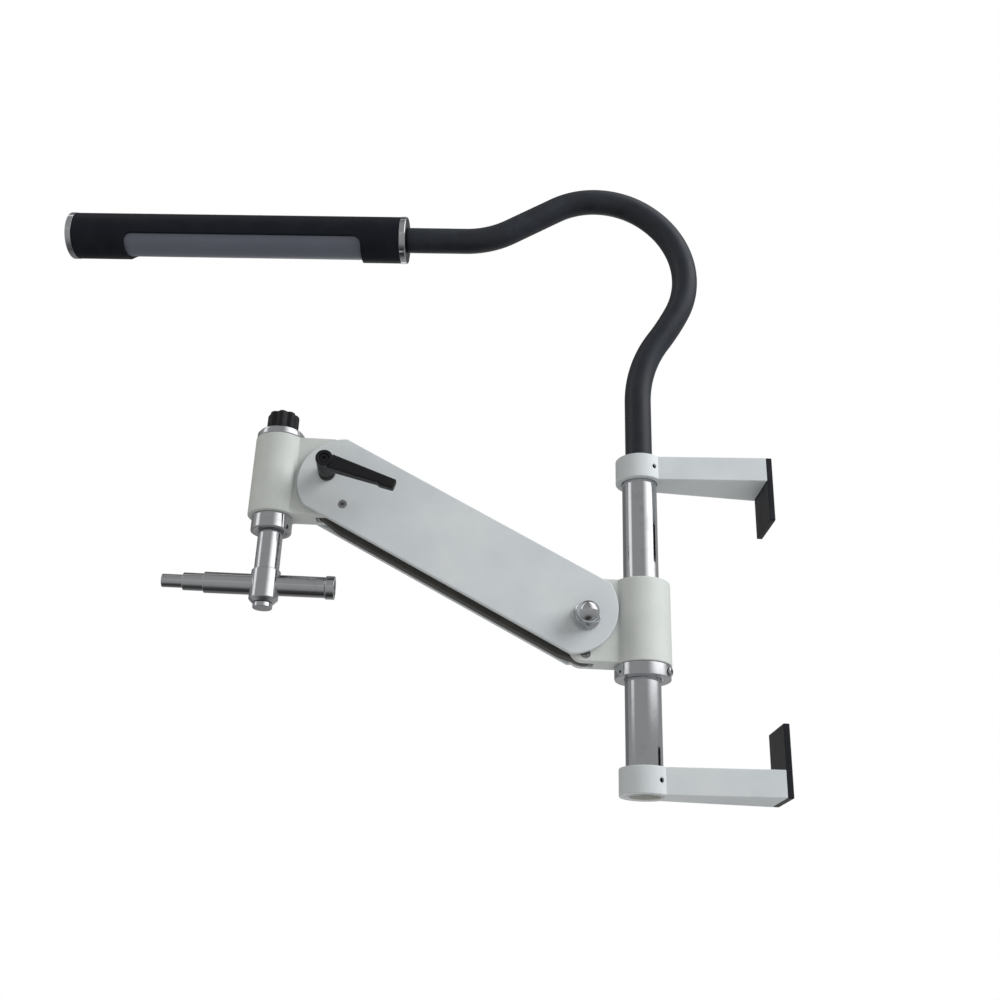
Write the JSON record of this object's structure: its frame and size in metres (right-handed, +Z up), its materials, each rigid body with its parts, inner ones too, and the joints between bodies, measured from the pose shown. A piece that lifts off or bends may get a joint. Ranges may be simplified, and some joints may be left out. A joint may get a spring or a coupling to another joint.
{
  "type": "phoropter arm stand",
  "caption": "Wall-mounted post with a height collar, a parallel arm that keeps its head level, a stepped rod for the instrument and a gooseneck lamp.",
  "frame": {"origin": "centre of the lower mounting plate's outer face", "axes": "+X out of the mounting plates' outer faces, +Z up along the post, +Y away from the side with the clamp lever"},
  "size_m": [0.8077, 0.1301, 0.7153],
  "materials": {
    "white_paint": "white powder coat on a casting, satin",
    "black_paint": "black paint, satin",
    "black_shell": "black anodised tube",
    "black_plastic": "moulded black plastic",
    "black_rubber": "smooth black rubber",
    "chrome": "polished chrome",
    "steel": "plain steel",
    "bronze": "sintered bronze",
    "frosted": "frosted diffuser",
    "white_plastic": "white plastic",
    "glass": "coated lamp glass"
  },
  "bodies": {
    "wall_frame": {"lower_mounting_plate": "black_paint", "upper_mounting_plate": "black_paint", "lower_bracket": "white_paint", "upper_bracket": "white_paint", "lower_bracket_screw": "steel", "upper_bracket_screw": "steel", "lower_bracket_set_screw": "steel", "upper_bracket_set_screw": "steel", "post_tube": "chrome", "post_grommet": "black_rubber", "feed_cable": "black_rubber", "neck_plug": "steel", "neck_core_1": "steel", "neck_sleeve_1": "black_rubber"},
    "carriage": {"height_collar": "chrome", "collar_set_screw": "chrome"},
    "swing": {"swing_block": "white_paint", "swing_bush": "bronze", "rear_link_pin": "steel"},
    "arm": {"front_arm_plate": "white_paint", "back_arm_plate": "white_paint", "arm_plate_screw": "steel", "arm_bolt": "steel", "cap_nut": "chrome", "lever_stud": "steel"},
    "lever_core": {"lever_insert": "steel", "lever_screw": "steel"},
    "lever_grip": {"lever_handle": "black_plastic"},
    "link": {"link_bar": "black_paint"},
    "head": {"head_block": "white_paint", "head_bush": "bronze", "head_top_ring": "chrome", "front_link_pin": "steel"},
    "spindle": {"head_spindle": "chrome", "head_collar": "chrome"},
    "knob": {"lock_knob": "black_plastic"},
    "rod": {"rod_sleeve": "chrome"},
    "shaft": {"stepped_shaft": "chrome", "rod_end_cap": "chrome"},
    "clamp_screw": {"rod_clamp_screw": "chrome"},
    "neck_2": {"neck_core_2": "steel", "neck_sleeve_2": "black_rubber"},
    "neck_3": {"neck_core_3": "steel", "neck_sleeve_3": "black_rubber"},
    "neck_4": {"neck_core_4": "steel", "neck_sleeve_4": "black_rubber"},
    "neck_5": {"neck_core_5": "steel", "neck_sleeve_5": "black_rubber", "neck_end_nut": "steel"},
    "lamp": {"lamp_shell": "black_shell", "lamp_near_ring": "chrome", "lamp_far_ring": "chrome", "lamp_near_cap": "black_plastic", "lamp_far_cap": "black_plastic", "lamp_diffuser": "frosted", "lamp_reflector": "white_plastic", "lamp_tube": "glass", "lamp_socket": "white_plastic"}
  },
  "joints": [
    {"name": "height_slide", "type": "slide", "parent": "wall_frame", "child": "carriage", "axis": [0, 0, 1], "range_m": [-0.086, 0.112]},
    {"name": "arm_swing", "type": "hinge", "parent": "carriage", "child": "swing", "pos_m": [-0.1385, 0, 0.137], "axis": [0, 0, 1], "range_deg": [-90, 90]},
    {"name": "arm_tilt", "type": "hinge", "parent": "swing", "child": "arm", "pos_m": [-0.1984, 0, 0.137], "axis": [0, 1, 0], "range_deg": [-58, 7]},
    {"name": "link_swing", "type": "hinge", "parent": "swing", "child": "link", "pos_m": [-0.1984, 0, 0.101], "axis": [0, 1, 0], "range_deg": [-58, 7]},
    {"name": "head_level", "type": "hinge", "parent": "arm", "child": "head", "pos_m": [-0.47085, 0, 0.28065], "axis": [0, 1, 0], "range_deg": [-7, 58]},
    {"name": "lever_turn", "type": "hinge", "parent": "arm", "child": "lever_core", "pos_m": [-0.47085, 0, 0.28065], "axis": [0, -1, 0], "range_deg": [-90, 90]},
    {"name": "lever_lift", "type": "slide", "parent": "lever_core", "child": "lever_grip", "axis": [0, -1, 0], "range_m": [0, 0.004], "stiffness_N_per_m": 300, "springref_m": -0.004},
    {"name": "spindle_turn", "type": "hinge", "parent": "head", "child": "spindle", "pos_m": [-0.52555, 0, 0.28065], "axis": [0, 0, 1], "range_deg": [-180, 180]},
    {"name": "knob_turn", "type": "hinge", "parent": "spindle", "child": "knob", "pos_m": [-0.52555, 0, 0.34], "axis": [0, 0, 1], "range_deg": [0, 270]},
    {"name": "rod_slide", "type": "slide", "parent": "spindle", "child": "rod", "axis": [1, 0, 0], "range_m": [-0.045, 0.038]},
    {"name": "shaft_turn", "type": "hinge", "parent": "rod", "child": "shaft", "pos_m": [-0.52555, 0.002, 0.16305], "axis": [1, 0, 0], "range_deg": [-45, 45]},
    {"name": "clamp_screw_turn", "type": "hinge", "parent": "spindle", "child": "clamp_screw", "pos_m": [-0.52555, 0, 0.14], "axis": [0, 0, 1], "range_deg": [0, 270]},
    {"name": "neck_sway", "type": "hinge", "parent": "wall_frame", "child": "neck_2", "pos_m": [-0.1385, 0, 0.3643], "axis": [1, 0, 0], "range_deg": [-30, 30], "deforming": ["neck_sleeve_1", "neck_sleeve_2"]},
    {"name": "neck_bend_low", "type": "hinge", "parent": "neck_2", "child": "neck_3", "pos_m": [-0.10989, 0, 0.48166], "axis": [0, 1, 0], "range_deg": [-20, 20], "deforming": ["neck_sleeve_3"]},
    {"name": "neck_bend_mid", "type": "hinge", "parent": "neck_3", "child": "neck_4", "pos_m": [-0.16292, 0, 0.66308], "axis": [0, 1, 0], "range_deg": [-15, 25], "deforming": ["neck_sleeve_4"]},
    {"name": "neck_bend_end", "type": "hinge", "parent": "neck_4", "child": "neck_5", "pos_m": [-0.3477, 0, 0.59734], "axis": [0, 1, 0], "range_deg": [-15, 30], "deforming": ["neck_sleeve_5"]},
    {"name": "lamp_turn", "type": "hinge", "parent": "neck_5", "child": "lamp", "pos_m": [-0.40608, 0.00326, 0.5966], "axis": [-0.9952, 0.0958, 0.0175], "range_deg": [-60, 60]}
  ],
  "couplings": [
    {"joint": "link_swing", "follows": "arm_tilt", "ratio": 1},
    {"joint": "head_level", "follows": "arm_tilt", "ratio": -1}
  ]
}
